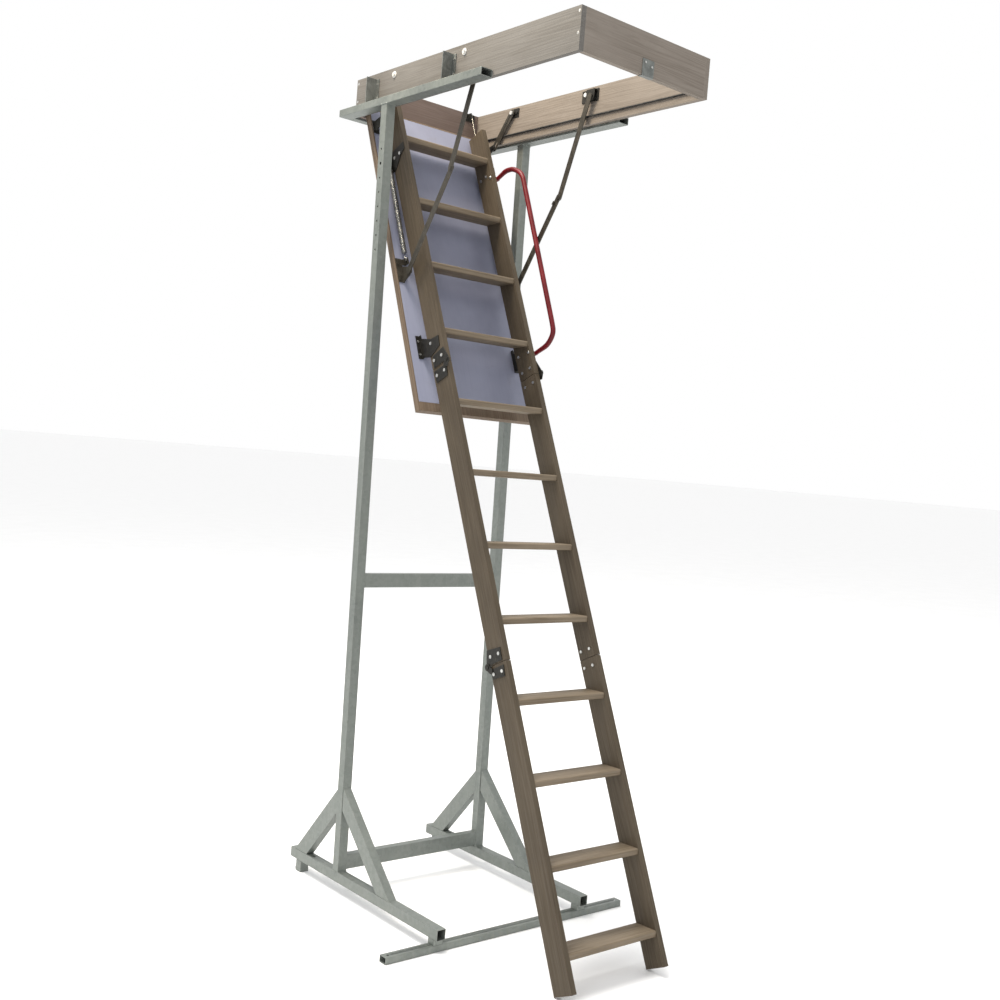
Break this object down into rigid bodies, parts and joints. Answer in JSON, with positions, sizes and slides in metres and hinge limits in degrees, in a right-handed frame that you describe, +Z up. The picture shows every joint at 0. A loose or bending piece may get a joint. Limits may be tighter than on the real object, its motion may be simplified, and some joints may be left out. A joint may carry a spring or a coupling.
{
  "type": "attic ladder",
  "caption": "Wooden folding attic ladder on a hinged hatch door in its ceiling box, with sprung stays, a handrail and a free-standing steel display stand.",
  "frame": {"origin": "on the floor, at the centre of the whole object in plan", "axes": "+Z up, +X to the right of a person facing the ladder to climb it, -Y towards that person"},
  "size_m": [0.976, 1.4556, 2.839],
  "materials": {
    "ladder_wood": "matte",
    "box_wood": "matte",
    "edging_wood": "matte",
    "white_panel": "satin",
    "seal_rubber": "matte",
    "dark_hardware": "satin",
    "bright_steel": "satin",
    "spring_steel": "satin",
    "red_paint": "gloss",
    "galvanised_steel": "satin"
  },
  "bodies": {
    "frame": {"box_side_left": "box_wood", "box_side_right": "box_wood", "box_front_board": "box_wood", "box_hinge_board": "box_wood", "box_corner_screws": "bright_steel", "seal_strips": "seal_rubber", "latch_keeper": "dark_hardware", "keeper_screws": "bright_steel", "side_cap_bolts": "bright_steel", "stay_anchors": "dark_hardware", "lever_anchors": "dark_hardware", "spring_anchors": "dark_hardware", "hatch_pivot_pins": "bright_steel", "stand_post_left": "galvanised_steel", "stand_post_right": "galvanised_steel", "stand_arm_left": "galvanised_steel", "stand_arm_right": "galvanised_steel", "stand_rear_bar": "galvanised_steel", "stand_mid_bar": "galvanised_steel", "stand_low_bar": "galvanised_steel", "stand_foot_left": "galvanised_steel", "stand_foot_right": "galvanised_steel", "stand_front_bar": "galvanised_steel", "stand_spacers": "galvanised_steel", "stand_braces": "galvanised_steel", "stand_tabs": "galvanised_steel", "stand_tab_screws": "bright_steel"},
    "hatch": {"hatch_panel": "white_panel", "hatch_edging": "edging_wood", "stay_brackets": "dark_hardware", "lever_brackets": "dark_hardware", "ladder_brackets": "dark_hardware", "bracket_screws": "bright_steel", "upper_stile_left": "ladder_wood", "upper_stile_right": "ladder_wood", "upper_treads": "ladder_wood", "handrail": "red_paint", "upper_hinge_leaves": "dark_hardware", "upper_bolts": "bright_steel"},
    "middle_section": {"middle_stile_left": "ladder_wood", "middle_stile_right": "ladder_wood", "middle_treads": "ladder_wood", "middle_hinge_leaves": "dark_hardware", "middle_bolts": "bright_steel"},
    "lower_section": {"lower_stile_left": "ladder_wood", "lower_stile_right": "ladder_wood", "lower_treads": "ladder_wood", "lower_hinge_leaves": "dark_hardware", "lower_bolts": "bright_steel"},
    "stay_upper_arm_left": {"stay_upper_left": "dark_hardware"},
    "stay_lower_arm_left": {"stay_lower_left": "dark_hardware"},
    "spring_left": {"spring_coil_left": "spring_steel"},
    "spring_hook_left": {"spring_rod_left": "spring_steel"},
    "lever_arm_left": {"lever_left": "dark_hardware"},
    "stay_upper_arm_right": {"stay_upper_right": "dark_hardware"},
    "stay_lower_arm_right": {"stay_lower_right": "dark_hardware"},
    "spring_right": {"spring_coil_right": "spring_steel"},
    "spring_hook_right": {"spring_rod_right": "spring_steel"},
    "lever_arm_right": {"lever_right": "dark_hardware"}
  },
  "joints": [
    {"name": "door_hinge", "type": "hinge", "parent": "frame", "child": "hatch", "pos_m": [0, 0.65179, 2.7165], "axis": [-1, 0, 0], "range_deg": [0, 58]},
    {"name": "fold_upper", "type": "hinge", "parent": "hatch", "child": "middle_section", "pos_m": [0, 0.11539, 1.85136], "axis": [-1, 0, 0], "range_deg": [0, 120]},
    {"name": "fold_lower", "type": "hinge", "parent": "middle_section", "child": "lower_section", "pos_m": [0, -0.22965, 0.88998], "axis": [-1, 0, 0], "range_deg": [-165, 0]},
    {"name": "stay_top_left", "type": "hinge", "parent": "frame", "child": "stay_upper_arm_left", "pos_m": [-0.234, 0.01179, 2.802], "axis": [-1, 0, 0], "range_deg": [0, 117.8]},
    {"name": "stay_foot_left", "type": "hinge", "parent": "hatch", "child": "stay_lower_arm_left", "pos_m": [-0.23, 0.33555, 2.15048], "axis": [1, 0, 0], "range_deg": [0, 89.13]},
    {"name": "spring_eye_left", "type": "hinge", "parent": "frame", "child": "spring_hook_left", "pos_m": [-0.213, 0.66379, 2.832], "axis": [-1, 0, 0], "range_deg": [0, 50.4]},
    {"name": "spring_foot_left", "type": "hinge", "parent": "hatch", "child": "spring_left", "pos_m": [-0.213, 0.38779, 2.19328], "axis": [1, 0, 0], "range_deg": [0, 7.7]},
    {"name": "lever_pivot_left", "type": "hinge", "parent": "frame", "child": "lever_arm_left", "pos_m": [-0.2425, 0.45179, 2.816], "axis": [1, 0, 0], "range_deg": [0, 45.5]},
    {"name": "stay_top_right", "type": "hinge", "parent": "frame", "child": "stay_upper_arm_right", "pos_m": [0.234, 0.01179, 2.802], "axis": [-1, 0, 0], "range_deg": [0, 117.8]},
    {"name": "stay_foot_right", "type": "hinge", "parent": "hatch", "child": "stay_lower_arm_right", "pos_m": [0.23, 0.33555, 2.15048], "axis": [1, 0, 0], "range_deg": [0, 89.13]},
    {"name": "spring_eye_right", "type": "hinge", "parent": "frame", "child": "spring_hook_right", "pos_m": [0.213, 0.66379, 2.832], "axis": [-1, 0, 0], "range_deg": [0, 50.4]},
    {"name": "spring_foot_right", "type": "hinge", "parent": "hatch", "child": "spring_right", "pos_m": [0.213, 0.38779, 2.19328], "axis": [1, 0, 0], "range_deg": [0, 7.7]},
    {"name": "lever_pivot_right", "type": "hinge", "parent": "frame", "child": "lever_arm_right", "pos_m": [0.2425, 0.45179, 2.816], "axis": [1, 0, 0], "range_deg": [0, 45.5]}
  ],
  "couplings": [
    {"joint": "fold_lower", "follows": "fold_upper", "ratio": -1.375},
    {"joint": "stay_top_left", "follows": "door_hinge", "ratio": 2.0302},
    {"joint": "stay_foot_left", "follows": "door_hinge", "ratio": 1.5358},
    {"joint": "spring_eye_left", "follows": "door_hinge", "ratio": 0.8681},
    {"joint": "spring_foot_left", "follows": "door_hinge", "ratio": 0.1319},
    {"joint": "lever_pivot_left", "follows": "door_hinge", "ratio": 0.7836},
    {"joint": "stay_top_right", "follows": "door_hinge", "ratio": 2.0302},
    {"joint": "stay_foot_right", "follows": "door_hinge", "ratio": 1.5358},
    {"joint": "spring_eye_right", "follows": "door_hinge", "ratio": 0.8681},
    {"joint": "spring_foot_right", "follows": "door_hinge", "ratio": 0.1319},
    {"joint": "lever_pivot_right", "follows": "door_hinge", "ratio": 0.7836}
  ]
}
